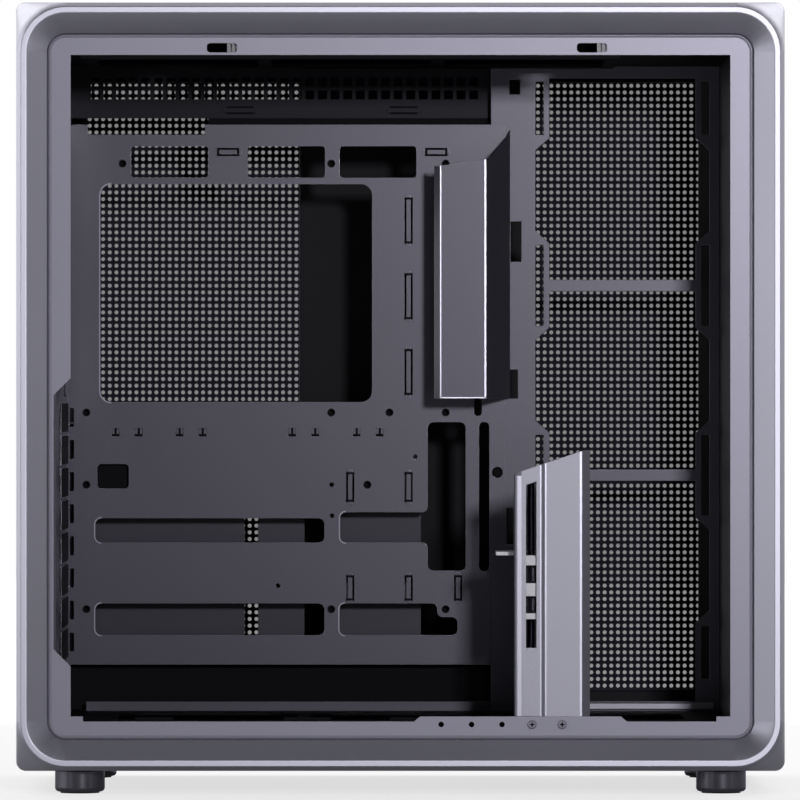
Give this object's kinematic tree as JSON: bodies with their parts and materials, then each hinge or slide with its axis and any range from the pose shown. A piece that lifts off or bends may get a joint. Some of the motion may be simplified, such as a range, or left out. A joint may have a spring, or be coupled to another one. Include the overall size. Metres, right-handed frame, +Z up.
{
  "type": "computer case",
  "caption": "Square dual-chamber tower case with its side open: framed opening, slotted motherboard tray, side fan bracket, card holder and round feet.",
  "frame": {"origin": "on the floor under the middle of the case", "axes": "+X from the rear to the front, +Y from the open side to the right-hand panel, +Z up"},
  "size_m": [0.472, 0.285, 0.4855],
  "materials": {
    "case_paint": "satin",
    "arm_paint": "satin",
    "dust_mesh": "matte",
    "dark_screw": "satin",
    "spring_clip": "matte",
    "foot_gloss": "gloss",
    "foot_rubber": "matte",
    "port_metal": "satin",
    "black_plastic": "matte",
    "board_green": "satin"
  },
  "bodies": {
    "case": {"audio_jack": "black_plastic", "bottom_cover": "case_paint", "bottom_rail": "case_paint", "cable_cover": "case_paint", "chassis_floor": "case_paint", "chassis_front_wall": "case_paint", "chassis_roof": "case_paint", "drive_bracket_front": "case_paint", "drive_bracket_rear": "case_paint", "fan_bracket": "case_paint", "foot_front_left": "foot_gloss", "foot_front_right": "foot_gloss", "foot_pad_front_left": "foot_rubber", "foot_pad_front_right": "foot_rubber", "foot_pad_rear_left": "foot_rubber", "foot_pad_rear_right": "foot_rubber", "foot_rear_left": "foot_gloss", "foot_rear_right": "foot_gloss", "front_cover": "case_paint", "gpu_holder": "case_paint", "holder_rod": "dark_screw", "holder_screws": "dark_screw", "inner_flange": "case_paint", "io_board": "board_green", "motherboard_tray": "case_paint", "panel_catch_front": "spring_clip", "panel_catch_rear": "spring_clip", "power_switch": "black_plastic", "psu_shelf": "case_paint", "rear_frame": "case_paint", "rear_panel": "case_paint", "right_side_panel": "case_paint", "side_filter_front": "dust_mesh", "side_filter_rear": "dust_mesh", "side_frame": "case_paint", "slot_cover_1": "case_paint", "slot_cover_2": "case_paint", "slot_cover_3": "case_paint", "slot_cover_4": "case_paint", "slot_cover_5": "case_paint", "slot_cover_6": "case_paint", "slot_cover_7": "case_paint", "slot_cover_8": "case_paint", "slot_screws": "dark_screw", "top_cover": "case_paint", "top_fan_bracket": "case_paint", "top_filter": "dust_mesh", "upper_vent_strip": "case_paint", "usb_c_port": "port_metal", "usb_port_lower": "port_metal", "usb_port_upper": "port_metal"},
    "arm": {"gpu_arm": "arm_paint", "arm_nut_lower": "dark_screw", "arm_nut_upper": "dark_screw"},
    "button": {"power_button": "case_paint"}
  },
  "joints": [
    {"name": "arm_slide", "type": "slide", "parent": "case", "child": "arm", "axis": [0, 0, 1], "range_m": [-0.016, 0.044]},
    {"name": "power_press", "type": "slide", "parent": "case", "child": "button", "axis": [-1, 0, 0], "range_m": [0, 0.0012], "stiffness_N_per_m": 900}
  ]
}
